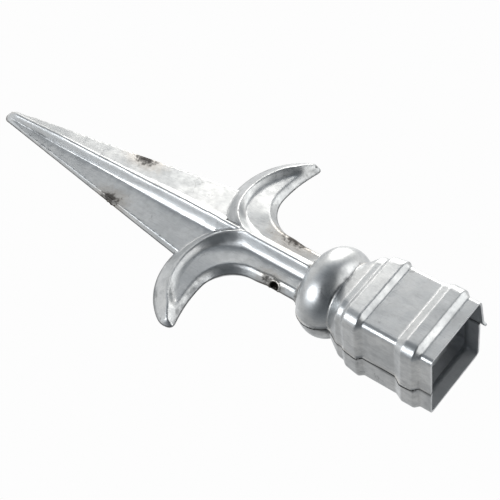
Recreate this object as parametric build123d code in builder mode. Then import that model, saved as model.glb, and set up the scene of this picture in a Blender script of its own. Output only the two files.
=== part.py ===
"""Pressed steel spear point that caps a square post.

Two thin pressings, front and rear, meet edge to edge round the whole outline and are joined by
four short tack welds. Both pressings come from one die: the rear one is the front one turned
half a turn about the spear's axis. +Z runs from the open socket to the tip, X is the width over
the wings, and the front face looks towards -Y. A torn corner of the front
pressing hangs a little below the mouth; the parts are written out standing on it, so the mouth
lies burr_drop above the origin. Inside this file heights are counted from the mouth.
"""

from build123d import *
from math import atan, atan2, cos, degrees, hypot, radians, sin, sqrt
import os

# ---- driving dimensions, mm -------------------------------------------------------------

tube_side = 25.0            # square tube that the socket slips over
tube_clearance = 0.2        # gap between tube and socket wall, each side
sheet = 0.8                 # sheet that the pressings are made of
seam_gap = 0.12             # gap left between the two pressed edges
seam_skew = 0.2             # side step of the socket's seam, for each mm from the axis
burr_drop = 2.3             # how far the torn corner of the front pressing hangs below the mouth
burr_slope_end = 1.3        # how far its slanted edge has dropped where the corner begins
burr_width = 1.4            # width of that corner
burr_tip_in = 0.35          # its lowest point, from the seam

# socket, from the mouth upwards
collar_height = 3.9         # plain band round the mouth
bead_rise = 1.7             # how far both bead bands stand out beyond the collar
panel_rise = 0.2            # how far the panel stands out beyond the collar
step_run = 1.6              # height of the short slope from a wall out to a bead
lower_bead_height = 4.1     # flat of the lower bead band
bead_fall_run = 2.8         # height of the long slope from the lower bead back to the panel
panel_height = 11.9         # recessed panel between the beads
upper_bead_height = 4.9     # flat of the upper bead band
bead_taper = 0.6            # how much the upper bead draws in towards its top
valley_depth = 0.7          # crease between the upper bead and the shoulder
valley_run = 1.0            # height of the slope down into that crease
shoulder_height = 2.0       # flat of the rounded shoulder
neck_in_run = 4.2           # height over which the shoulder draws in to the groove
wall_corner = 1.6           # outside corner radius of the plain walls
bead_corner = 4.3           # outside corner radius of the bead bands
shoulder_corner = 6.0       # outside corner radius of the shoulder

# ball collar
groove_radius = 12.0        # tight groove under the ball
groove_land = 0.4           # how far the socket's top stands out beyond the groove
groove_corner = 10.0        # outside corner radius of the socket's top
ball_radius = 14.8          # widest radius of the ball
ball_curve = 8.0            # radius of the ball's profile

# neck and ridge
crotch_rise = 25.1          # from the ball's middle up to the centre of the crotch curves
neck_waist = 0.7            # how much the neck draws in below the crotch
neck_waist_run = 6.0        # height over which it does
ridge_height = 7.0          # crest of the middle ridge above the seam plane
ridge_crest = 0.6           # half width of the ridge's flat crest
ridge_foot = 2.7            # half width of the ridge where it leaves the web
web_height = 3.0            # flat of neck and wing roots above the seam plane
edge_bevel = 1.5            # width of the slope from a flat down to the seam

# blade
blade_length = 93.4         # from the wings' shoulders to the tip
blade_half_width = 16.5     # half width at the wings' shoulders
blade_web = 2.5             # flat of the blade above the seam plane
ridge_level = 14.0          # length of blade over which the ridge keeps its full height
tip_half_width = 2.8        # half width where the tip's rounding starts
tip_web = 1.5               # flat of the blade there
tip_ridge = 3.3             # crest of the ridge there
tip_foot = 1.4              # half width of the ridge there
tip_bevel = 0.9             # width of the slope down to the seam there

# wings
wing_radius = 25.5          # outer curve
wing_centre_x = 17.3        # centre of the outer curve, from the spear's axis
wing_lift = 2.1             # height of the outer curve's centre above the crotch's centre
crotch_radius = 11.6        # curve between neck and wing
crotch_centre_x = 22.0      # centre of that curve, from the spear's axis
wing_under_radius = 48.0    # shallow curve from the crotch out to the wing's point
wing_rib_height = 4.2       # crest of the rib along the wing's outer edge
wing_rib_crest = 0.45       # half width of that crest
wing_rib_run = 1.5          # width of the slope from that crest in to the wing's flat
wing_rib_in = 3.8           # from the outer edge in to the crest, at an angle of 0 degrees
wing_rib_drift = 0.028      # how much farther in the crest lies for each degree
wing_web = 2.1              # flat of the wing near its point
wing_root_angle = 85.0      # where the rib starts growing into the middle ridge
wing_root_run = 55.0        # degrees over which it does
wing_point_angle = 19.5     # direction of the wing's point, degrees above X
wing_point_taper = 9.0      # degrees over which the wing thins down to its point
wing_point_in = 0.9         # how much the outer curve draws in at the point
wing_point_out = 2.0        # how much the rib's crest moves out at the point
wing_point_fall = 1.4       # how much the rib falls towards the point

# where the drawn sections stand
wing_planes = [29, 36, 48, 64, 84, 104, 124, 138, 150]      # degrees above X
crotch_planes = [140, 155, 170, 185, 205]                   # degrees above X
tip_shares = [0.0, 0.5, 0.8, 0.97]      # up the tip's rounding, as shares of its radius
tuck = 0.05                 # how far a form stays inside the one that it runs into
hollow_ball_share = 0.75    # how low the ball's hollow reaches, as a share of its curve

# tack welds
tack_length = 4.0           # along the seam
tack_width = 1.7            # across the edge
tack_height = 2.0           # from the front pressing to the rear one
tack_proud = 0.35           # how far a tack stands out of the edge
tack_chamfer = 0.4
blade_tack_up = 32.4        # blade tacks, above the wings' shoulders
neck_tack_left_up = 16.5    # left neck tack, above the ball's middle
neck_tack_right_up = 20.0   # right neck tack, above the ball's middle

# ---- sizes that follow --------------------------------------------------------------------

wall = tube_side / 2 + tube_clearance + sheet
bead = wall + bead_rise
shoulder = bead - bead_taper - valley_depth
lower_bead_z = collar_height + step_run
panel_z = lower_bead_z + lower_bead_height + bead_fall_run
upper_bead_z = panel_z + panel_height + step_run
shoulder_z = upper_bead_z + upper_bead_height + valley_run
groove_z = shoulder_z + shoulder_height + neck_in_run

ball_centre = ball_radius - ball_curve
ball_z = groove_z + sqrt(ball_curve**2 - (groove_radius - ball_centre) ** 2)

crotch_z = ball_z + crotch_rise
wing_z = crotch_z + wing_lift
blade_z = wing_z + wing_radius
tip_z = blade_z + blade_length
tip_round_z = tip_z - tip_half_width
crotch_half = crotch_centre_x - crotch_radius
blade_foot_z = crotch_z + crotch_radius + edge_bevel
blade_slope = (blade_half_width - tip_half_width) / (tip_round_z - blade_z)

below_mouth = 5.0           # how far cutting shapes run past the mouth
far = 2 * (wing_centre_x + wing_radius)


def mix(a, b, t):
    """The value t of the way from a to b, held between the two."""
    return a + (b - a) * min(max(t, 0.0), 1.0)


def both_faces(top):
    """A closed outline from its front half, which starts and ends on the seam plane."""
    return top + [(x, -y) for x, y in reversed(top[1:-1])]


def drawn_in(corners, distance):
    """An anticlockwise outline with every side moved inwards by the same distance."""
    moved = []
    for i, (x, y) in enumerate(corners):
        before, after = corners[i - 1], corners[(i + 1) % len(corners)]
        run_in, run_out = (x - before[0], y - before[1]), (after[0] - x, after[1] - y)
        first = [run / hypot(*run_in) for run in (-run_in[1], run_in[0])]
        second = [run / hypot(*run_out) for run in (-run_out[1], run_out[0])]
        share = distance / (1 + first[0] * second[0] + first[1] * second[1])
        moved.append((x + share * (first[0] + second[0]), y + share * (first[1] + second[1])))
    return moved


# ---- sections, each given anticlockwise -----------------------------------------------------

def ridged_section(half, bevel, web, foot, ridge):
    """Neck or blade: flats on both faces, bevelled to the seam, with a ridge down the middle."""
    side = [(half, 0.0), (half - bevel, web), (foot, web), (ridge_crest, ridge)]
    return both_faces(side + [(-x, y) for x, y in reversed(side)])


def neck_section(half):
    """The neck at one half width."""
    return ridged_section(half, edge_bevel, web_height, ridge_foot, ridge_height)


def blade_section(z):
    """The blade at one height; its ridge stays level at first, then falls to the tip."""
    along = (z - blade_z) / (tip_round_z - blade_z)
    falling = (z - blade_z - ridge_level) / (tip_round_z - blade_z - ridge_level)
    return ridged_section(
        blade_half_width - blade_slope * max(z - blade_z, 0.0),
        mix(edge_bevel, tip_bevel, along),
        mix(blade_web, tip_web, along),
        mix(ridge_foot, tip_foot, along),
        mix(ridge_height, tip_ridge, falling),
    )


def lower_edge(angle):
    """Distance from the outer curve's centre to the wing's lower edge in one direction."""
    turn = degrees(atan2(crotch_radius - wing_lift, crotch_centre_x - wing_centre_x))
    radius = crotch_radius if angle > turn else wing_under_radius
    to_x = wing_centre_x - crotch_centre_x
    to_z = wing_z - (crotch_z + crotch_radius - radius)
    along = to_x * cos(radians(angle)) + to_z * sin(radians(angle))
    return sqrt(along**2 - to_x**2 - to_z**2 + radius**2) - along


def wing_section(angle):
    """The wing, cut by the plane that runs from the outer curve's centre in one direction."""
    to_root = (angle - wing_root_angle) / wing_root_run
    to_point = 1 - (angle - wing_point_angle) / wing_point_taper
    rib = mix(wing_rib_height, ridge_height, to_root) - mix(0.0, wing_point_fall, to_point)
    flat = mix(wing_web, web_height, (angle - wing_root_run) / wing_root_run)
    outer = wing_radius - mix(0.0, wing_point_in, to_point)
    crest = wing_radius - wing_rib_in - wing_rib_drift * angle + mix(0, wing_point_out, to_point)
    foot = crest - wing_rib_crest - mix(wing_rib_run, ridge_foot - ridge_crest, to_root)
    edge = lower_edge(angle)
    flat_end = min(edge + edge_bevel, foot - wing_rib_crest)
    return both_faces([
        (outer, 0.0),
        (crest + wing_rib_crest, rib),
        (crest - wing_rib_crest, rib),
        (foot, flat),
        (flat_end, flat),
        (edge, 0.0),
    ])


def crotch_section(angle):
    """The flat between the crotch and the ridge, cut by the same kind of plane as the wing."""
    axis = -wing_centre_x / cos(radians(angle))
    edge = lower_edge(angle)
    near = edge + edge_bevel
    return [(axis, web_height), (near, web_height), (edge, 0.0), (near, -web_height),
            (axis, -web_height)]


def wing_plane(angle):
    """The plane across the wing whose x points away from the outer curve's centre."""
    outwards = (cos(radians(angle)), 0, sin(radians(angle)))
    across = (sin(radians(angle)), 0, -cos(radians(angle)))
    return Plane((wing_centre_x, 0, wing_z), x_dir=outwards, z_dir=across)


def socket_levels(inset):
    """Height, half width and corner radius up the socket, drawn in by a thickness."""
    levels = [
        (-below_mouth, wall, wall_corner),
        (collar_height, wall, wall_corner),
        (lower_bead_z, bead, bead_corner),
        (lower_bead_z + lower_bead_height, bead, bead_corner),
        (panel_z, wall + panel_rise, wall_corner),
        (panel_z + panel_height, wall + panel_rise, wall_corner),
        (upper_bead_z, bead, bead_corner),
        (upper_bead_z + upper_bead_height, bead - bead_taper, bead_corner),
        (shoulder_z, shoulder, (bead_corner + shoulder_corner) / 2),
        (shoulder_z + shoulder_height, shoulder, shoulder_corner),
        (groove_z, groove_radius + groove_land, groove_corner),
    ]
    profile = [(0.0, -below_mouth)] + [(half, z) for z, half, corner in levels]
    moved = drawn_in(profile + [(0.0, groove_z)], inset)[1:-1]
    return [(z, half, corner - inset) for (half, z), (_, _, corner) in zip(moved, levels)]


# ---- the whole spear as one closed form, drawn in by any thickness ----------------------------

def spear(inset):
    """Outer form at no inset, and the hollow inside the sheet at an inset of its thickness."""
    thin = inset > 0
    point_planes = [wing_point_angle, wing_point_angle + wing_point_taper / 3]
    wing_angles = wing_planes if thin else point_planes + wing_planes

    with BuildPart() as form:
        for angle in wing_angles:
            with BuildSketch(wing_plane(angle)):
                with BuildLine():
                    Polyline(*drawn_in(wing_section(angle), inset), close=True)
                make_face()
        loft()
        for angle in crotch_planes:
            with BuildSketch(wing_plane(angle)):
                with BuildLine():
                    Polyline(*drawn_in(crotch_section(angle), inset), close=True)
                make_face()
        loft()
        mirror(about=Plane.YZ)

        waist_z = crotch_z - neck_waist_run
        waist = crotch_half - neck_waist
        root = crotch_half - tuck
        neck = [(ball_z + inset, waist), (waist_z, waist), (crotch_z, root),
                (blade_foot_z + edge_bevel, root)]
        for z, half in neck:
            with BuildSketch(Plane.XY.offset(z)):
                with BuildLine():
                    Polyline(*drawn_in(neck_section(half), inset), close=True)
                make_face()
        loft(ruled=True)

        blade = [blade_foot_z + inset, blade_z, blade_z + ridge_level, tip_round_z - inset]
        for z in blade:
            with BuildSketch(Plane.XY.offset(z)):
                with BuildLine():
                    Polyline(*drawn_in(blade_section(z), inset), close=True)
                make_face()
        loft(ruled=True)
        if not thin:
            for share in tip_shares:
                with BuildSketch(Plane.XY.offset(tip_round_z + share * tip_half_width)):
                    with BuildLine():
                        Polyline(*drawn_in(blade_section(tip_round_z), 0), close=True)
                    make_face()
                    scale(by=sqrt(1 - share**2))
            loft(ruled=True)

        for z, half, corner in socket_levels(inset):
            with BuildSketch(Plane.XY.offset(z)):
                RectangleRounded(2 * half, 2 * half, corner)
        loft(ruled=True)

        curve = ball_curve - inset
        low = -hollow_ball_share * curve if thin else groove_z - ball_z
        start = sqrt(curve**2 - low**2)
        turn = degrees(atan2(low, start))
        with BuildSketch(Plane.XZ):
            with BuildLine():
                arc = CenterArc((ball_centre, ball_z), curve, turn, 90 - turn)
                Polyline(arc @ 1, (0, ball_z + curve), (0, ball_z + low), arc @ 0)
            make_face()
        revolve(axis=Axis.Z)
        with BuildSketch(Plane.XY.offset(groove_z - 2 * sheet)):
            Circle(groove_radius - inset - tuck)
        extrude(amount=ball_curve / 2)
    return form.part


# ---- the two halves -------------------------------------------------------------------------

def mouth_cut(drop):
    """Everything below the mouth, less the torn corner that hangs down by some drop."""
    seam_y = -seam_skew * wall - seam_gap / 2
    with BuildPart() as cut:
        with BuildSketch(Plane.XY.offset(-2 * below_mouth)):
            Rectangle(far, far)
        extrude(amount=2 * below_mouth)
        if drop:
            with BuildSketch(Plane.YZ.offset(wall - 2 * sheet)):
                with BuildLine():
                    Polyline((wall_corner - wall, 0), (seam_y - burr_width, -burr_slope_end),
                             (seam_y - burr_tip_in, -drop), (seam_y, -burr_slope_end),
                             (seam_y, 0), close=True)
                make_face()
            extrude(amount=3 * sheet, mode=Mode.SUBTRACT)
    return cut.part


def seam_zone():
    """Everything in front of the seam: skewed in the socket, straight above the groove."""
    levels = [(-2 * below_mouth, seam_skew), (shoulder_z, seam_skew), (groove_z, 0.0),
              (tip_z + below_mouth, 0.0)]
    with BuildPart() as zone:
        for z, skew in levels:
            with BuildSketch(Plane.XY.offset(z)):
                with BuildLine():
                    Polyline((-far, -far), (far, -far), (far, -skew * far - seam_gap / 2),
                             (-far, skew * far - seam_gap / 2), close=True)
                make_face()
        loft(ruled=True)
    return zone.part


def edge_half(z):
    """Half width of neck or blade at one height."""
    if z > blade_z:
        return blade_half_width - blade_slope * (z - blade_z)
    return crotch_half - neck_waist


def tack(side, z):
    """A flat-sided weld bead set into both edges, on the left (-1) or the right (1)."""
    lean = atan(blade_slope) if z > blade_z else 0.0
    middle = edge_half(z) + tack_proud - tack_width / 2
    along = (-side * sin(lean), 0, cos(lean))
    with BuildPart(Plane((side * middle, 0, z), x_dir=(side * cos(lean), 0, sin(lean)),
                         z_dir=along)) as bead_of_weld:
        Box(tack_width, tack_height, tack_length)
        chamfer(bead_of_weld.edges(), tack_chamfer)
    return bead_of_weld.part


tack_places = {
    "blade_tack_left": (-1, blade_z + blade_tack_up),
    "blade_tack_right": (1, blade_z + blade_tack_up),
    "neck_tack_left": (-1, ball_z + neck_tack_left_up),
    "neck_tack_right": (1, ball_z + neck_tack_right_up),
}
tacks = {name: tack(side, z) for name, (side, z) in tack_places.items()}
outer_form = spear(0.0)
hollow = spear(sheet)
front_zone = seam_zone()

with BuildPart() as front_shell:
    add(outer_form)
    add(hollow, mode=Mode.SUBTRACT)
    add(mouth_cut(burr_drop), mode=Mode.SUBTRACT)
    add(front_zone, mode=Mode.INTERSECT)
    for piece in tacks.values():
        add(piece, mode=Mode.SUBTRACT)

with BuildPart() as rear_shell:
    add(outer_form)
    add(hollow, mode=Mode.SUBTRACT)
    add(mouth_cut(0.0), mode=Mode.SUBTRACT)
    add(front_zone.rotate(Axis.Z, 180), mode=Mode.INTERSECT)
    for piece in tacks.values():
        add(piece, mode=Mode.SUBTRACT)

# ---- files --------------------------------------------------------------------------------

nodes = {"front_shell": front_shell.part, "rear_shell": rear_shell.part} | tacks
os.makedirs("parts", exist_ok=True)
for name, piece in nodes.items():
    node = piece.moved(Pos(0, 0, burr_drop))
    node.label = name
    export_step(node, f"parts/{name}.step")
print("length over the torn corner", round(tip_z + burr_drop, 2))
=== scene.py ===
"""Pressed steel spear point for a square post: looks.

Lengths are in millimetres and heights are counted from the socket's mouth until a mesh is written.
"""
import math

import bpy
import numpy as np
from mathutils import Matrix, Vector


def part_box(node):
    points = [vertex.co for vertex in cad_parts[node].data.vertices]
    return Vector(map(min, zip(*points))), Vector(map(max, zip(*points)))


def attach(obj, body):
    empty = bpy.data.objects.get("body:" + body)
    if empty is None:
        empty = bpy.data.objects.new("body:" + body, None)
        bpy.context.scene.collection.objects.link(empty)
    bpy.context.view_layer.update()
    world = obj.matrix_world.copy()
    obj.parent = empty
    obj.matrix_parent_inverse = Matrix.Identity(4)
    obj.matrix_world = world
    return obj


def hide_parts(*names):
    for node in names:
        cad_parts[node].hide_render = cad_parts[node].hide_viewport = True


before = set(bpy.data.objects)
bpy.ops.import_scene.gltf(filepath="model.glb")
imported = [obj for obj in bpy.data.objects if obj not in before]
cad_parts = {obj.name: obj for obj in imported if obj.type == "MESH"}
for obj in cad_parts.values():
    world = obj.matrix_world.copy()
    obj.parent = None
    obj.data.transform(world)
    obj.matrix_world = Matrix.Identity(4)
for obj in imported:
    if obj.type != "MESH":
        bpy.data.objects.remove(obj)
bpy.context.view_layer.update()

MM = 0.001
mouth_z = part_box("rear_shell")[0][2] / MM        # the mouth, above the frame's origin
tip_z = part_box("rear_shell")[1][2] / MM - mouth_z
ball_front = -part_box("front_shell")[0][1] / MM
scene = bpy.context.scene

# ---- sizes of the pressing, mm ----------------------------------------------------------------

sheet = 0.8
seam_skew = 0.2                 # side step of the socket's seam for each mm from the axis
seam_straight = (33.5, 37.0)    # heights between which the seam comes back to the middle
seam_gap = 0.28                 # the gap seen between the two pressed edges

# socket profile: (height, half width, corner radius)
socket_profile = [
    (-2.0, 13.5, 1.7), (3.9, 13.5, 1.7), (5.5, 15.15, 4.2), (9.6, 15.15, 4.2), (12.3, 13.7, 2.0),
    (24.2, 13.7, 2.0), (25.8, 15.1, 4.4), (30.7, 14.6, 4.6), (31.6, 13.95, 5.4),
    (33.8, 13.95, 6.2), (38.0, 12.3, 10.5), (42.0, 12.0, 10.8),
]
socket_top = 38.6                # where the shoulder's form ends, inside the ball
ball_z = 44.1
ball_curve = 8.0
ball_centre = ball_front - ball_curve

crotch = (22.0, 69.2, 11.6)         # centre across, height, radius of the curve under a wing
under_radius = 48.0                 # shallow curve from there to the wing's point
wing = (17.3, 71.6, 25.4)           # centre across, height, radius of the outer curve
wing_point = (40.3, 80.2)
wing_blunt = (0.92, 0.38)           # the cut across the wing's point faces out and a little down
neck_half = 9.75
blade_z = 97.0
blade_half = 16.4
blade_tip_half = 2.8
ridge_crest = 0.62
blade_dish = 0.045              # fall of the blade's flats for each mm outwards

# up the spear: (height, value)
ridge_tops = [(104, 7.0), (120, 6.3), (134, 5.9), (144, 5.5), (163, 5.1), (187, 3.4)]
ridge_slopes = [(95, 2.0), (187, 2.1)]
ridge_fillets = [(100, 2.8), (118, 2.4), (132, 0.9), (150, 0.3)]
rib_fillets = [(60, 3.0), (80, 2.4)]

# round the wing: (degrees about the centre of its outer curve, value)
rib_tops = [(19, 1.9), (24, 3.3), (29, 3.9), (45, 4.4), (64, 4.2), (84, 4.15), (104, 5.0),
            (124, 6.4), (138, 7.0), (150, 7.1)]
rib_radii = [(20, 23.0), (25, 21.9), (30, 21.1), (40, 20.2), (60, 19.9), (90, 19.6), (120, 19.2),
             (150, 18.8)]
flat_radii = [(20, 21.2), (30, 19.2), (59, 18.2), (108, 18.0), (119, 17.7), (129, 17.2),
              (140, 16.3), (152, 15.6)]
rib_crest = 0.3
wing_flat, neck_flat = 2.05, 3.0
outer_foot = 0.25               # height of the wing's outer slope where it meets the seam
nowhere = -3.0                  # a height below the seam, where a form is not wanted

lip_end, lip_fade = 52.0, 3.0   # the seam's lip ends above the ball, over this height
corner_slope = 1.3              # how far the cut edge has dropped where the torn corner begins
corner_width = 10.5             # how far from the seam the cut edge starts to drop
corner_rise = 4.0               # height of the wall that is drawn down with it
corner_wall = 12.2              # the torn corner hangs from the wall beyond this

sheet_waves = [(0.028, 22.0), (0.012, 6.0)]     # the sheet's unevenness: (height, length)
lip_wave = (0.35, 9.0)          # how much the seam's lip varies, and over what length
gap_wave = (0.4, 7.0)           # the same for the seam's gap

# ---- smooth joins ---------------------------------------------------------------------------------


def smin(a, b, k):
    """The lower of two fields, rounded over a band of width k."""
    h = np.maximum(k - np.abs(a - b), 0.0) / k
    return np.minimum(a, b) - h * h * k * 0.25


def smax(a, b, k):
    """The higher of two fields, rounded over a band of width k."""
    return -smin(-a, -b, k)


def hinge(x, width):
    """Zero below zero and x above it, rounded over a width."""
    return 0.5 * (x + np.sqrt(x * x + width * width))


def ramp(x, points):
    """A line through (x, y) points, held level outside them."""
    xs, ys = zip(*points)
    return np.interp(x, xs, ys)


def ease(share):
    """A share held between 0 and 1, with a soft start and end."""
    share = np.clip(share, 0.0, 1.0)
    return share * share * (3 - 2 * share)


def rounded_profile(column, radius):
    """A socket column as a fine table, its corners rounded over a height."""
    step = 0.05
    zs = np.arange(-6.0, 46.0, step)
    heights = [level[0] for level in socket_profile]
    values = np.interp(zs, heights, [level[column] for level in socket_profile])
    reach = int(radius / step)
    weights = np.hanning(2 * reach + 1)
    padded = np.pad(values, reach, mode="edge")
    return zs, np.convolve(padded, weights / weights.sum(), mode="valid")


half_table = rounded_profile(1, 0.55)
corner_table = rounded_profile(2, 0.8)

# ---- the pressing's form ------------------------------------------------------------------------


def bevel(inside, web, width):
    """Height of the rounded slope that rises from the outline to the web."""
    return inside * web / width


def face_height(x, z):
    """Height of the front face above the seam plane for blade, wings and neck."""
    across = np.abs(x)
    ridge = ramp(z, ridge_tops) - ramp(z, ridge_slopes) * hinge(across - ridge_crest, 0.45)

    # blade
    straight = tip_z - blade_tip_half
    lean = (blade_half - blade_tip_half) / (straight - blade_z)
    edge = (blade_half - lean * (z - blade_z) - across) / math.hypot(1, lean)
    tip = blade_tip_half - np.hypot(across, z - straight)
    edge = np.where(z > straight, np.minimum(edge, tip), edge)
    web = ramp(z, [(blade_z, 2.5), (straight, 1.0)]) + blade_dish * (6.0 - across)
    bevel_run = ramp(z, [(blade_z, 1.0), (straight - 8, 0.5), (straight, 1.2), (tip_z, 1.8)])
    blade = smin(smax(web, ridge, ramp(z, ridge_fillets)), bevel(edge, web, bevel_run), 0.6)
    blade = np.where(z > 90, blade, nowhere)

    # neck and wing share one flat, edged by the neck's side and the curves under the wing
    out_x, out_z = across - wing[0], z - wing[1]
    reach = np.hypot(out_x, out_z)
    turn = np.degrees(np.arctan2(out_z, out_x))
    turn = np.where(turn < -90, turn + 360, turn)
    rib_top, rib_at, flat_at = (ramp(turn, points) for points in (rib_tops, rib_radii, flat_radii))
    flat = wing_flat + (neck_flat - wing_flat) * ease((turn - 30) / 95)
    flat = np.where(out_z > 0, flat, neck_flat)
    rise = (rib_top - flat) / np.maximum(rib_at - rib_crest - flat_at, 0.8)
    rib = rib_top - rise * hinge(rib_at - rib_crest - reach, 0.35) - 8 * ease((78 - z) / 14)
    raised = smax(rib, ridge, 2.2)
    top = smax(flat, raised, ramp(z, rib_fillets))
    slope = (rib_top - outer_foot) / (wing[2] - rib_at - rib_crest)
    past_wing = 12 * ease((72 - z) / 8)
    outer = rib_top - slope * (reach - rib_at - rib_crest) + past_wing
    below = np.hypot(across - crotch[0], z - crotch[1]) - crotch[2]
    under_z = crotch[1] + crotch[2] - under_radius
    under = np.hypot(across - crotch[0], z - under_z) - under_radius
    below = np.where(across < crotch[0], below, under)
    waist = crotch[0] - crotch[2] - (crotch[0] - crotch[2] - neck_half) * ease((crotch[1] - z) / 7)
    rim = np.where(z > crotch[1], below, waist - across)
    blunt = (wing_point[0] - across) * wing_blunt[0] + (z - wing_point[1]) * wing_blunt[1]
    within = smin(smin(wing[2] - reach + past_wing, rim, 2.6), blunt, 2.4)
    lower = smin(top, outer, 0.7)
    lower = smin(lower, bevel(rim, np.minimum(flat, 2.9), 1.8), 1.2)
    lower = smin(lower, bevel(within, 2.4, 1.0), 0.6)
    spine = np.where(z < 95, ridge, nowhere)
    return smax(smax(blade, lower, 0.5), spine, 0.8)


def spear(x, y, z):
    """Signed field of the outer form, about a distance near its surface."""
    face = face_height(x, z)
    step = 0.05
    run = (face_height(x + step, z) - face) / step
    rise = (face_height(x, z + step) - face) / step
    steep = np.clip(np.hypot(run, rise), 0, 2.6)
    body = (np.abs(y) - face) / np.sqrt(1 + steep ** 2)
    body = smax(body, ball_z - z, 0.5)

    ring = np.hypot(x, y)
    ball = np.hypot(np.maximum(ring - ball_centre, 0.0), z - ball_z) - ball_curve

    half = np.interp(z, *half_table)
    corner = np.interp(z, *corner_table)
    side_x, side_y = np.abs(x) - half + corner, np.abs(y) - half + corner
    square = np.hypot(np.maximum(side_x, 0), np.maximum(side_y, 0))
    square = square + np.minimum(np.maximum(side_x, side_y), 0) - corner
    lift = np.gradient(half_table[1], half_table[0])
    square = square / np.sqrt(1 + np.interp(z, half_table[0], lift) ** 2)
    square = smax(square, z - socket_top, 0.3)
    return smin(smin(ball, square, 0.45), body, 2.2)


def seam(x, z):
    """Where the two pressings meet, in front of or behind the middle plane."""
    low, high = seam_straight
    return -seam_skew * x * ease((high - z) / (high - low))


# ---- from field to mesh -----------------------------------------------------------------------------


def waves(x, y, z, length, seed):
    """Gentle seeded unevenness of about unit height at one length, in mm."""
    rng = np.random.default_rng(seed)
    total = 0.0
    for _ in range(10):
        way = rng.normal(size=3)
        way *= 2 * math.pi / length / np.linalg.norm(way) * rng.uniform(0.6, 1.5)
        total = total + np.sin(way[0] * x + way[1] * y + way[2] * z + rng.uniform(0, 2 * math.pi))
    return total / math.sqrt(10)


def bumps(z, places):
    """Sum of narrow bells, each given by its height along the axis, width and size."""
    return sum(size * np.exp(-((z - at) / width) ** 2) for at, width, size in places)


class Pressing:
    """One of the two pressings, both from the same die, each with its own knocks."""

    def __init__(self, front, notches, pits, lip, drop):
        self.front = front
        self.notches = notches
        self.pits = pits
        self.lip, self.lip_width = lip
        self.drop = drop
        self.seed = 3 if front else 11

    def field(self, x, y, z):
        """Signed field with the sheet's unevenness, its lipped seam edge and its pits."""
        value = spear(x, y, z)
        for i, (height, length) in enumerate(sheet_waves):
            value = value - height * waves(x, y, z, length, self.seed + i)
        low = np.clip((lip_end - z) / lip_fade, 0, 1)
        from_seam = y - seam(x, z)
        share, length = lip_wave
        lift = self.lip * low * (1 + share * waves(x, y, z, length, self.seed + 2))
        value = value - lift * np.exp(-(from_seam / self.lip_width) ** 2)
        for px, py, pz, radius, rim in self.pits:
            far = np.sqrt((x - px) ** 2 + (y - py) ** 2 + (z - pz) ** 2)
            value = value - rim * np.exp(-((far - 1.3 * radius) / (0.3 * radius)) ** 2)
            value = smax(value, radius - far, 0.25)
        return value

    def painted_hole_shade(self, points):
        """How deep each point lies in the blown hole, from 0 to 1, the mask of the painted dark seen
        through the hole.
        """
        px, py, pz, radius, _ = self.pits[0]
        far = np.linalg.norm(points - (px, py, pz), axis=1)
        return 1 - ease((far - 1.05 * radius) / (0.25 * radius))

    def normal(self, x, y, z):
        """Direction of the surface, by central differences."""
        e = 0.03
        grad = [self.field(x + e, y, z) - self.field(x - e, y, z),
                self.field(x, y + e, z) - self.field(x, y - e, z),
                self.field(x, y, z + e) - self.field(x, y, z - e)]
        return np.stack(grad, axis=1) / (2 * e)

    def gap(self, x, z):
        """Half the gap between the pressed edges."""
        wide = 0.5 + np.clip((lip_end - z) / lip_fade, 0, 1)
        share, length = gap_wave
        uneven = 1 + share * waves(x, 0, z, length, self.seed)
        return wide * seam_gap / 2 * uneven + bumps(z, self.notches)

    def settle(self, points, on_seam, on_mouth):
        """Moves vertices onto the exact surface, keeping edge vertices on seam and mouth."""
        for _ in range(6):
            x, y, z = points.T
            y = y + seam(x, z)
            value = self.field(x, y, z)
            grad = self.normal(x, y, z)
            grad[on_seam, 1] = 0
            grad[on_mouth, 2] = 0
            size = np.maximum((grad ** 2).sum(axis=1), 0.05)
            move = -value[:, None] * grad / size[:, None]
            length = np.linalg.norm(move, axis=1, keepdims=True)
            points = points + move * np.minimum(1, 0.4 / np.maximum(length, 1e-9))
        return points

    def outer_surface(self, step):
        """Points, outward normals and quads of the outer surface, ending on seam and mouth."""
        sx, sy, sz = step
        ridge_zone, grid_reach = 3.5, 42.0      # the grid is twice as fine across the ridge
        mouth_row = 3                           # the cells that hold the cut edge at the mouth
        half = np.concatenate([np.arange(sx / 4, ridge_zone, sx / 2),
                               np.arange(ridge_zone, grid_reach + sx, sx)])
        xs = np.concatenate([-half[::-1], half])
        ys = np.arange(-ball_front * (1 + seam_skew) - 2 * sy, 1.2 * sy, sy)
        ys = ys - ys[np.argmin(np.abs(ys))] + sy / 2
        zs = np.arange(-(mouth_row + 0.5) * sz, tip_z + 3 * sz, sz)
        grid_x, grid_y, grid_z = np.meshgrid(xs, ys, zs, indexing="ij", sparse=True)
        value = self.field(grid_x, grid_y + seam(grid_x, grid_z), grid_z)
        points, quads, cell = crossings(value, xs, ys, zs)
        last = len(ys) - 2
        on_mouth, on_seam = cell[:, 2] == mouth_row, cell[:, 1] == last
        keep = (cell[:, 2] >= mouth_row) & (cell[:, 1] <= last)
        used = keep[quads].all(axis=1) & (quads >= 0).all(axis=1)
        flat = on_seam[quads].all(axis=1) | on_mouth[quads].all(axis=1)
        quads = quads[used & ~flat]
        points[on_seam, 1] = -self.gap(points[on_seam, 0], points[on_seam, 2])
        points[on_mouth, 2] = 0.0
        points = self.settle(points, on_seam, on_mouth)
        points[:, 1] += seam(points[:, 0], points[:, 2])
        live = np.unique(quads)
        remap = -np.ones(len(points), dtype=np.int64)
        remap[live] = np.arange(len(live))
        points, quads = points[live], remap[quads]
        normals = self.normal(*points.T)
        normals /= np.linalg.norm(normals, axis=1, keepdims=True)
        low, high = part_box("rear_shell")
        points[:, 0] = np.clip(points[:, 0], low[0] / MM, high[0] / MM)
        points[:, 1] = np.clip(points[:, 1], -ball_front, ball_front)
        points[:, 2] = np.clip(points[:, 2], 0, tip_z)
        return points, normals, quads


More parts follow.
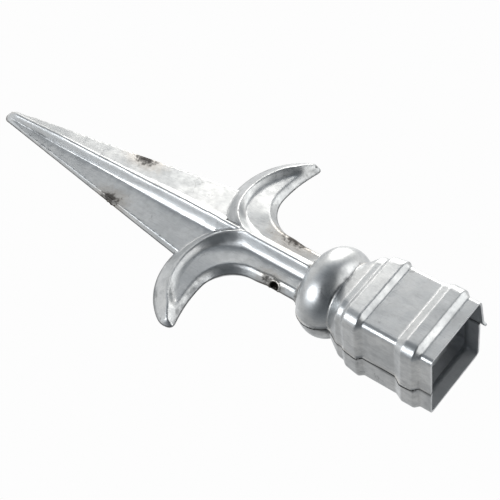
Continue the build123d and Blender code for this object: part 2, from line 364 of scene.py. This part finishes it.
def crossings(value, xs, ys, zs):
    """One point in every cell that the surface crosses, and one quad round every crossed edge."""
    inside = value < 0
    shape = tuple(n - 1 for n in inside.shape)
    corners = [(i, j, k) for i in (0, 1) for j in (0, 1) for k in (0, 1)]
    count = sum(inside[i:i + shape[0], j:j + shape[1], k:k + shape[2]].astype(np.int8)
                for i, j, k in corners)
    crossed = (count > 0) & (count < 8)
    index = -np.ones(shape, dtype=np.int64)
    index[crossed] = np.arange(crossed.sum())
    cell = np.argwhere(crossed)
    total, weight = np.zeros((len(cell), 3)), np.zeros(len(cell))
    for a in corners:
        for axis in range(3):
            if a[axis]:
                continue
            b = tuple(c + (1 if n == axis else 0) for n, c in enumerate(a))
            va, vb = value[tuple((cell + a).T)], value[tuple((cell + b).T)]
            hit = (va < 0) != (vb < 0)
            share = np.where(hit, va / np.where(hit, va - vb, 1.0), 0.0)
            start, end = (np.stack([line[at] for line, at in zip((xs, ys, zs), (cell + c).T)], axis=1)
                          for c in (a, b))
            point = start + share[:, None] * (end - start)
            total += point * hit[:, None]
            weight += hit

    quads = []
    for axis in range(3):
        u, v = (axis + 1) % 3, (axis + 2) % 3
        low = [slice(1, -1)] * 3
        high = list(low)
        low[axis], high[axis] = slice(0, -1), slice(1, None)
        starts, ends = inside[tuple(low)], inside[tuple(high)]
        offset = np.ones(3, dtype=int)
        offset[axis] = 0
        for leaving in (True, False):
            edges = np.argwhere(starts & ~ends if leaving else ~starts & ends) + offset
            around = []
            for du, dv in ((-1, -1), (0, -1), (0, 0), (-1, 0)):
                at = edges.copy()
                at[:, u] += du
                at[:, v] += dv
                around.append(index[at[:, 0], at[:, 1], at[:, 2]])
            quads.append(np.stack(around if leaving else around[::-1], axis=1))
    return total / weight[:, None], np.concatenate(quads), cell


def hang_corner(points, drop):
    """Draws the far wall's cut edge down to a torn corner at the seam."""
    x, y, z = points.T
    from_seam = seam(x, z) - y
    slant = corner_slope * np.clip(1 - (from_seam - 0.6) / corner_width, 0, 1)
    spike = (drop - corner_slope) * np.exp(-((from_seam - 0.55) / 0.6) ** 2)
    at_wall = np.clip((x - corner_wall) / 0.4, 0, 1)
    low = np.clip(1 - z / corner_rise, 0, 1)
    points[:, 2] -= (slant + spike) * at_wall * low * np.clip(from_seam / 0.3, 0, 1)
    return points


def pressing(name, shell, step):
    """A pressing with its sheet thickness as one closed mesh with exact surface normals."""
    points, normals, quads = shell.outer_surface(step)
    inner = points - sheet * normals
    edge = seam(inner[:, 0], inner[:, 2]) - seam_gap / 2
    inner[:, 1] = np.minimum(inner[:, 1], edge)
    inner[:, 2] = np.maximum(inner[:, 2], 0)
    near, wide, seam_shade_reach = 0.7, 2.0, 0.3       # reach of creases, hollows and the painted shade at the seam
    probe = points + near * normals
    from_seam = (seam(points[:, 0], points[:, 2]) - points[:, 1]) / seam_shade_reach
    # the crease mask is for painted shade: concave creases within near, and a band along the seam's
    # edge
    crease = np.maximum(1 - spear(*probe.T) / near, np.exp(-from_seam ** 2))
    probe = points + wide * normals
    hollow = 1 - spear(*probe.T) / wide
    probe = points - near * normals
    worn = 1 + spear(*probe.T) / near

    count = len(points)
    everything = np.concatenate([points, inner])
    if shell.drop:
        everything = hang_corner(everything, shell.drop)
    starts, ends = quads.reshape(-1), np.roll(quads, -1, axis=1).reshape(-1)
    forward, backward = starts * count + ends, ends * count + starts
    open_edge = ~np.isin(forward, backward)
    a, b = starts[open_edge], ends[open_edge]
    rim = np.stack([b, a, a + count, b + count], axis=1)
    corner_a, corner_b, corner_d = everything[rim[:, 0]], everything[rim[:, 1]], everything[rim[:, 3]]
    rim_normal = np.cross(corner_b - corner_a, corner_d - corner_a)
    rim_normal /= np.maximum(np.linalg.norm(rim_normal, axis=1, keepdims=True), 1e-9)
    faces = np.concatenate([quads, quads[:, ::-1] + count, rim])
    loops = np.concatenate([normals[quads.reshape(-1)], -normals[quads[:, ::-1].reshape(-1)],
                            np.repeat(rim_normal, 4, axis=0)])
    if not shell.front:
        everything = everything * (-1, -1, 1)
        loops = loops * (-1, -1, 1)
    mesh = bpy.data.meshes.new(name)
    mesh.from_pydata(((everything + (0, 0, mouth_z)) * MM).tolist(), [], faces.tolist())
    mesh.polygons.foreach_set("use_smooth", [True] * len(mesh.polygons))
    mesh.update()
    mesh.normals_split_custom_set(loops.tolist())
    zero = np.zeros(count)
    for field_name, values in (("crease", (crease, zero)), ("hollow", (hollow, zero)),
                               ("worn", (worn, zero)), ("inside", (zero, zero + 1)),
                               ("painted_hole_shade", (shell.painted_hole_shade(points), zero))):
        layer = mesh.attributes.new(field_name, "FLOAT", "POINT")
        layer.data.foreach_set("value", np.concatenate(values).astype(np.float32))
    piece = bpy.data.objects.new(name, mesh)
    scene.collection.objects.link(piece)
    return piece


# nicks in the seam: (height, width, size)
seam_notches = [(11.8, 0.45, 0.45), (25.2, 0.4, 0.35), (32.2, 0.6, 0.5), (5.0, 0.4, 0.3)]
# pits and the blown hole, which comes first: (x, y, height, radius, height of its rim)
front_pits = [(-9.75, -1.3, 61.1, 1.5, 0.25), (37.6, -2.6, 79.9, 0.5, 0), (38.4, -1.9, 79.6, 0.4, 0),
              (-37.7, -2.5, 79.8, 0.5, 0)]
rear_pits = [(37.8, -2.5, 79.8, 0.5, 0)]
front_shell = Pressing(True, seam_notches, front_pits, (0.42, 0.7), mouth_z)
rear_shell = Pressing(False, [(11.8, 0.45, 0.3), (32.2, 0.5, 0.3)], rear_pits, (-0.25, 1.5), 0.0)
fine = ((0.47, 0.49, 0.54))
front = pressing("front_pressing", front_shell, fine)
rear = pressing("rear_pressing", rear_shell, fine)

# ---- materials --------------------------------------------------------------------------------------


def linear(code):
    """An sRGB hex code as linear RGBA."""
    parts = [int(code[i:i + 2], 16) / 255 for i in (1, 3, 5)]
    curve = [c / 12.92 if c <= 0.04045 else ((c + 0.055) / 1.055) ** 2.4 for c in parts]
    return (*curve, 1.0)


def add(tree, kind, settings, *ordered, **named):
    """Adds a node, sets its properties, and sets or links its inputs in order or by name."""
    node = tree.nodes.new(kind)
    for key, value in settings.items():
        setattr(node, key, value)
    pairs = list(zip(node.inputs, ordered))
    pairs += [(node.inputs[key.replace("_", " ")], value) for key, value in named.items()]
    for socket, value in pairs:
        if isinstance(value, bpy.types.NodeSocket):
            tree.links.new(value, socket)
        else:
            socket.default_value = value
    return node


times = {"operation": "MULTIPLY"}
plus = {"operation": "ADD"}
minus = {"operation": "SUBTRACT"}
times_plus = {"operation": "MULTIPLY_ADD"}
soft_range = {"interpolation_type": "SMOOTHSTEP"}
colours = {"data_type": "RGBA"}


def new_material(name):
    """A material, its tree, its shader, and the place on the object in mm."""
    material = bpy.data.materials.new(name)
    material.use_nodes = True
    tree = material.node_tree
    metres = tree.nodes.new("ShaderNodeTexCoord").outputs["Object"]
    place = add(tree, "ShaderNodeVectorMath", times, metres, (1 / MM,) * 3).outputs[0]
    return material, tree, tree.nodes["Principled BSDF"], place


# soot beside each tack: across, height, how far it spreads
soot_places = [(-10.4, 129.8, 2.7), (9.4, 131.0, 2.9), (-8.3, 63.0, 2.0), (8.3, 65.2, 3.8)]

# shares of that spread at which soot, then tint, is gone and is full
mark_reach = ((1.0, 0.25), (2.1, 0.8))


def heat_marks(tree, place):
    """Soot and straw tint round every tack, both from 0 to 1, ragged over about 1.6 mm."""
    ragged = add(tree, "ShaderNodeTexNoise", {}, Vector=place, Scale=1 / 1.6, Detail=4.0,
                 Roughness=0.65).outputs["Fac"]
    ragged = add(tree, "ShaderNodeMath", minus, ragged, 0.5).outputs[0]
    marks = [0.0, 0.0]
    for across, height, reach in soot_places:
        middle = (across, -1.0, height + mouth_z)
        offset = add(tree, "ShaderNodeVectorMath", minus, place, middle)
        drawn = add(tree, "ShaderNodeVectorMath", times, offset.outputs[0], (1.0, 0.6, 0.5))
        length = add(tree, "ShaderNodeVectorMath", {"operation": "LENGTH"}, drawn.outputs[0])
        far = add(tree, "ShaderNodeMath", times_plus, ragged, 1.9 * reach, length.outputs["Value"])
        for i, (none, full) in enumerate(mark_reach):
            mark = add(tree, "ShaderNodeMapRange", soft_range, far.outputs[0], none * reach,
                       full * reach)
            marks[i] = add(tree, "ShaderNodeMath", {"operation": "MAXIMUM"}, marks[i],
                           mark.outputs["Result"]).outputs[0]
    return marks


def pressed_steel():
    """Bare cold-rolled sheet: cloudy, finely grained, rubbed on its edges, grimy in its hollows, with
    painted shade in its creases and along the seam.
    """
    material, tree, shader, place = new_material("cold_rolled_steel")
    crease, hollow, worn, inside, painted_hole_shade = (
        add(tree, "ShaderNodeAttribute", {"attribute_name": name}).outputs["Fac"]
        for name in ("crease", "hollow", "worn", "inside", "painted_hole_shade"))

    # size of a lump in mm, detail, roughness, and how far it is drawn out along the spear;
    # the sheet's own grain is finer than this, which is as fine as can be seen
    clouds, mottle, rolled, grain, smudge, patch, speck = (
        add(tree, "ShaderNodeTexNoise", {}, Scale=1 / size, Detail=detail, Roughness=rough,
            Vector=add(tree, "ShaderNodeVectorMath", times, place, (1.0, 1.0, along)).outputs[0],
            ).outputs["Fac"]
        for size, detail, rough, along in (
            (14.0, 3.0, 0.5, 1.0), (2.4, 4.0, 0.6, 1.0), (0.45, 3.0, 0.7, 0.12),
            (0.22, 3.0, 0.7, 1.0), (5.0, 5.0, 0.7, 0.45), (6.0, 2.0, 0.5, 1.0),
            (0.8, 2.0, 0.6, 1.0)))

    # fine crooked scratches: the edges of cells some 6 mm wide, bent by a noise
    bend = add(tree, "ShaderNodeTexNoise", {}, Vector=place, Scale=1 / 3.0)
    bend = add(tree, "ShaderNodeVectorMath", times, bend.outputs["Color"], (18.0,) * 3)
    bent = add(tree, "ShaderNodeMix", colours, Factor=0.25, A=place, B=bend.outputs[0])
    cells = add(tree, "ShaderNodeTexVoronoi", {"feature": "DISTANCE_TO_EDGE"},
                Vector=bent.outputs["Result"], Scale=0.16).outputs["Distance"]

    # each share: what it follows, where that starts and ends, and the share at either end
    (cloudy, mottled, rolled_in, rubbed, smudged, in_hollow, painted_crease_shade, line, few, specks, metal, gloss,
     gloss_mottle) = (
        add(tree, "ShaderNodeMapRange", soft_range, *row).outputs["Result"] for row in (
            (clouds, 0.3, 0.7, 0.0, 1.0), (mottle, 0.35, 0.7, 0.0, 0.35),
            (rolled, 0.45, 0.75, 0.0, 0.3), (worn, 0.05, 0.35, 0.0, 0.45),
            (smudge, 0.47, 0.68, 0.0, 0.65), (hollow, 0.02, 0.3, 0.18, 1.0),
            (crease, 0.05, 0.3, 0.0, 0.62), (cells, 0.02, 0.004, 0.0, 0.35),
            (patch, 0.60, 0.66, 0.0, 1.0), (speck, 0.745, 0.80, 0.0, 0.4),
            (inside, 0.0, 1.0, 1.0, 0.6), (clouds, 0.25, 0.75, 0.30, 0.38),
            (mottle, 0.3, 0.7, -0.04, 0.07)))
    soot, tint = heat_marks(tree, place)
    grime, scratch, tinted, sooty, shaded, sooty_grain = (
        add(tree, "ShaderNodeMath", times, *pair).outputs[0]
        for pair in ((smudged, in_hollow), (line, few), (tint, 0.24), (soot, 0.8), (inside, 0.6),
                     (soot, grain)))

    # the hole mask paints the dark seen through the blown hole, as painted shade on a shallow pit
    colour = linear("#D3D6D8")
    # the crease mask paints shade into the creases and along the seam's edge
    for share, code in ((cloudy, "#BFC3C6"), (mottled, "#9A9EA2"), (rolled_in, "#8D9195"),
                        (rubbed, "#DAD8D4"), (grime, "#55585B"), (painted_crease_shade, "#4A4C4F"),
                        (scratch, "#3C3E40"), (specks, "#4B4D50"), (tinted, "#8F7A5C"),
                        (sooty, "#27221F"), (painted_hole_shade, "#1A1716"), (shaded, "#A9ADB2")):
        colour = add(tree, "ShaderNodeMix", colours, Factor=share, A=colour,
                     B=linear(code)).outputs["Result"]
    tree.links.new(colour, shader.inputs["Base Color"])
    tree.links.new(metal, shader.inputs["Metallic"])

    rough = add(tree, "ShaderNodeMath", plus, gloss, gloss_mottle).outputs[0]
    for share, gain in ((painted_crease_shade, 0.25), (soot, 0.35), (inside, 0.2)):
        rough = add(tree, "ShaderNodeMath", times_plus, share, gain, rough).outputs[0]
    tree.links.new(rough, shader.inputs["Roughness"])

    relief = mottle
    for share, gain in ((grain, 0.12), (rolled, 0.15), (sooty_grain, -3.0)):
        relief = add(tree, "ShaderNodeMath", times_plus, share, gain, relief).outputs[0]
    bump = add(tree, "ShaderNodeBump", {}, Strength=0.3, Distance=0.05 * MM, Height=relief)
    tree.links.new(bump.outputs["Normal"], shader.inputs["Normal"])
    return material


def weld_metal():
    """Dull weld metal with scale, bright where it has run."""
    material, tree, shader, place = new_material("scaled_weld_metal")
    # size of a lump in mm, detail and roughness
    lumps, stains = (
        add(tree, "ShaderNodeTexNoise", {}, Vector=place, Scale=1 / size, Detail=detail,
            Roughness=rough).outputs["Fac"]
        for size, detail, rough in ((0.7, 4.0, 0.6), (1.9, 2.0, 0.5)))
    run, rust, dullness = (
        add(tree, "ShaderNodeMapRange", soft_range, *row).outputs["Result"]
        for row in ((lumps, 0.4, 0.65, 0.0, 1.0), (stains, 0.5, 0.7, 0.0, 0.5),
                    (lumps, 0.3, 0.7, 0.62, 0.36)))
    colour = linear("#3A3633")
    for share, code in ((run, "#8E8A84"), (rust, "#6B4F38")):
        colour = add(tree, "ShaderNodeMix", colours, Factor=share, A=colour,
                     B=linear(code)).outputs["Result"]
    tree.links.new(colour, shader.inputs["Base Color"])
    tree.links.new(dullness, shader.inputs["Roughness"])
    shader.inputs["Metallic"].default_value = 0.85
    bump = add(tree, "ShaderNodeBump", {}, Strength=0.8, Distance=0.15 * MM, Height=lumps)
    tree.links.new(bump.outputs["Normal"], shader.inputs["Normal"])
    return material


# ---- weld beads ---------------------------------------------------------------------------------


def bead_tree(material):
    """Node tree that strings half-melted blobs of weld metal along a line."""
    tree = bpy.data.node_groups.new("weld_bead", "GeometryNodeTree")
    for name, kind, value in (("Length", "NodeSocketFloat", 4 * MM),
                              ("Blobs", "NodeSocketInt", 7), ("Size", "NodeSocketFloat", 0.6 * MM),
                              ("Wander", "NodeSocketFloat", 0.3 * MM),
                              ("Seed", "NodeSocketInt", 0)):
        socket = tree.interface.new_socket(name, in_out="INPUT", socket_type=kind)
        socket.default_value = value
    tree.interface.new_socket("Geometry", in_out="OUTPUT", socket_type="NodeSocketGeometry")
    given = tree.nodes.new("NodeGroupInput").outputs

    ends = []
    for share in (-0.5, 0.5):
        height = add(tree, "ShaderNodeMath", times, given["Length"], share).outputs[0]
        ends.append(add(tree, "ShaderNodeCombineXYZ", {}, Z=height).outputs[0])
    line = add(tree, "GeometryNodeMeshLine", {"mode": "END_POINTS"}, Count=given["Blobs"],
               Start_Location=ends[0], Offset=ends[1])
    vectors = {"data_type": "FLOAT_VECTOR"}
    jitter = add(tree, "FunctionNodeRandomValue", vectors, Min=(-1, -1, -1), Seed=given["Seed"])
    spread = add(tree, "ShaderNodeVectorMath", {"operation": "SCALE"}, jitter.outputs["Value"],
                 Scale=given["Wander"])
    shift = add(tree, "GeometryNodeSetPosition", {}, Geometry=line.outputs["Mesh"],
                Offset=spread.outputs[0])
    blob = add(tree, "GeometryNodeMeshIcoSphere", {}, Subdivisions=3, Radius=given["Size"])
    size = add(tree, "FunctionNodeRandomValue", vectors, Min=(0.55, 0.6, 0.7),
               Max=(1.15, 1.2, 1.3), Seed=given["Seed"])
    place = add(tree, "GeometryNodeInstanceOnPoints", {}, Points=shift.outputs["Geometry"],
                Instance=blob.outputs["Mesh"], Scale=size.outputs["Value"])
    real = add(tree, "GeometryNodeRealizeInstances", {}, Geometry=place.outputs["Instances"])
    smooth = add(tree, "GeometryNodeSetShadeSmooth", {}, Geometry=real.outputs["Geometry"])
    paint = add(tree, "GeometryNodeSetMaterial", {}, Geometry=smooth.outputs["Geometry"],
                Material=material)
    add(tree, "NodeGroupOutput", {}, Geometry=paint.outputs["Geometry"])
    return tree


def weld_bead(node, tree, settings):
    """A bead of weld metal where a tack node is, leaning with the edge it sits on."""
    host = bpy.data.objects.new(node + "_host", bpy.data.meshes.new(node + "_host"))
    scene.collection.objects.link(host)
    modifier = host.modifiers.new("bead", "NODES")
    modifier.node_group = tree
    for item in tree.interface.items_tree:
        if item.in_out == "INPUT" and item.name in settings:
            modifier[item.identifier] = settings[item.name]
    host.update_tag()
    shown = host.evaluated_get(bpy.context.evaluated_depsgraph_get())
    mesh = bpy.data.meshes.new_from_object(shown)
    bpy.data.objects.remove(host)
    low, high = (np.array(corner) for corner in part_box(node))
    middle = (low + high) / 2
    side = math.copysign(1, middle[0])
    on_blade = middle[2] / MM - mouth_z > blade_z
    lean = (blade_half - blade_tip_half) / (tip_z - blade_tip_half - blade_z) if on_blade else 0
    middle[0] += side * settings["Out"] * MM
    mesh.transform(Matrix.Translation(middle) @ Matrix.Rotation(-side * math.atan(lean), 4, "Y"))
    piece = bpy.data.objects.new("weld_" + node, mesh)
    scene.collection.objects.link(piece)
    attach(piece, "root")
    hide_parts(node)
    return piece


# Out is how far a bead is moved from the axis, in mm
bead_settings = {
    "blade_tack_left": {"Length": 4.4 * MM, "Blobs": 9, "Size": 0.55 * MM, "Wander": 0.35 * MM,
                        "Seed": 4, "Out": -0.15},
    "blade_tack_right": {"Length": 5.4 * MM, "Blobs": 9, "Size": 0.42 * MM, "Wander": 0.25 * MM,
                         "Seed": 9, "Out": -0.2},
    "neck_tack_left": {"Length": 3.0 * MM, "Blobs": 6, "Size": 0.36 * MM, "Wander": 0.3 * MM,
                       "Seed": 2, "Out": -0.1},
    "neck_tack_right": {"Length": 4.4 * MM, "Blobs": 8, "Size": 0.45 * MM, "Wander": 0.3 * MM,
                        "Seed": 6, "Out": -0.15},
}
steel, weld = pressed_steel(), weld_metal()
for piece, node in ((front, "front_shell"), (rear, "rear_shell")):
    piece.data.materials.append(steel)
    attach(piece, "root")
    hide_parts(node)
beads = bead_tree(weld)
for node, settings in bead_settings.items():
    weld_bead(node, beads, settings)

# ---- floor, light and camera ----------------------------------------------------------------------

floor_mesh = bpy.data.meshes.new("floor")
floor_mesh.from_pydata([(-3, -3, 0), (3, -3, 0), (3, 3, 0), (-3, 3, 0)], [], [(0, 1, 2, 3)])
floor = bpy.data.objects.new("floor", floor_mesh)
scene.collection.objects.link(floor)
# the steel doesn't mirror the floor, and the lights below it shine through
floor.visible_glossy = floor.visible_diffuse = floor.visible_shadow = False


def floor_material():
    """Pale matt floor whose underside lets light and sight through."""
    material = bpy.data.materials.new("pale_floor")
    material.use_nodes = True
    tree = material.node_tree
    shader = tree.nodes["Principled BSDF"]
    shader.inputs["Base Color"].default_value = linear("#F4F4F3")
    shader.inputs["Roughness"].default_value = 0.9
    side = add(tree, "ShaderNodeNewGeometry", {})
    clear = add(tree, "ShaderNodeBsdfTransparent", {})
    mix = add(tree, "ShaderNodeMixShader", {}, side.outputs["Backfacing"], shader.outputs["BSDF"],
              clear.outputs["BSDF"])
    tree.links.new(mix.outputs["Shader"], tree.nodes["Material Output"].inputs["Surface"])
    return material


floor_mesh.materials.append(floor_material())

# the camera looks up at the part from below, in front and to the left
camera_place = Vector((-0.1942, -0.3310, -0.1191 + mouth_z * MM))
right_in_view = Vector((0.6156, 0.1044, -0.7811)).normalized()
towards = Vector((-0.4482, -0.7689, -0.4560)).normalized()
up_in_view = towards.cross(right_in_view).normalized()
camera_data = bpy.data.cameras.new("camera")
camera_data.lens = 96.06
camera_data.sensor_width = 36
camera_data.clip_start = 0.01
camera = bpy.data.objects.new("camera", camera_data)
turn = Matrix((up_in_view.cross(towards), up_in_view, towards)).transposed()
camera.matrix_world = Matrix.Translation(camera_place) @ turn.to_4x4()
scene.collection.objects.link(camera)
scene.camera = camera

object_middle = Vector((0, 0, 0.095))


def softbox(name, direction, distance, size, watts, colour="#FFFFFF"):
    """A square area light that looks at the object from a direction."""
    data = bpy.data.lights.new(name, "AREA")
    data.shape = "RECTANGLE"
    data.size, data.size_y = size
    data.energy = watts
    data.color = linear(colour)[:3]
    light = bpy.data.objects.new(name, data)
    way = Vector(direction).normalized()
    light.location = object_middle + way * distance
    light.rotation_euler = (-way).to_track_quat("-Z", "Y").to_euler()
    scene.collection.objects.link(light)
    return light


# left and right light the flanks, and mouth shines up into the open socket
softbox("key", up_in_view - towards * 0.35 + right_in_view * 0.15, 0.7, (0.6, 0.45), 3.2,
        "#FFF9F1")
softbox("left", -right_in_view * 0.8 - up_in_view * 0.02 + towards * 0.52, 0.8, (0.35, 0.55), 3.8)
softbox("right", right_in_view * 0.85 + up_in_view * 0.15 + towards * 0.42, 0.7, (0.8, 0.9), 3.2,
        "#FFFBF5")
softbox("mouth", right_in_view * 0.8 - up_in_view * 0.45 + towards * 0.5, 0.7, (0.25, 0.25), 0.5)

world = bpy.data.worlds.new("world")
scene.world = world
world.use_nodes = True


def studio(tree):
    """A white backdrop behind the object, and a dimmer room round the camera."""
    room = tree.nodes["Background"]
    way = tree.nodes.new("ShaderNodeTexCoord").outputs["Generated"]
    along, upward = (
        add(tree, "ShaderNodeVectorMath", {"operation": "DOT_PRODUCT"}, way, axis).outputs["Value"]
        for axis in (towards, up_in_view))
    spread = add(tree, "ShaderNodeMapRange", {}, along, -1, 1)
    shade = add(tree, "ShaderNodeValToRGB", {}, spread.outputs["Result"])
    stops = [(0.0, "#FFFFFF"), (0.38, "#FBF8F4"), (0.50, "#E2E1DF"), (0.60, "#C8CBCE"),
             (0.78, "#868A8E"), (1.0, "#505457")]
    while len(shade.color_ramp.elements) < len(stops):
        shade.color_ramp.elements.new(0.5)
    for element, (at, code) in zip(shade.color_ramp.elements, stops):
        element.position = at
        element.color = linear(code)
    table_shade = add(tree, "ShaderNodeMapRange", soft_range, upward, -0.75, 0.1, 0.6)
    dim = add(tree, "ShaderNodeMix", {"data_type": "RGBA", "blend_type": "MULTIPLY"}, Factor=1.0,
              A=shade.outputs["Color"], B=table_shade.outputs["Result"])
    tree.links.new(dim.outputs["Result"], room.inputs["Color"])
    backdrop = add(tree, "ShaderNodeBackground", {}, linear("#FDFDFD"))
    seen = add(tree, "ShaderNodeLightPath", {})
    mix = add(tree, "ShaderNodeMixShader", {}, seen.outputs["Is Camera Ray"],
              room.outputs["Background"], backdrop.outputs["Background"])
    tree.links.new(mix.outputs["Shader"], tree.nodes["World Output"].inputs["Surface"])


studio(world.node_tree)
scene.view_settings.view_transform = "Standard"
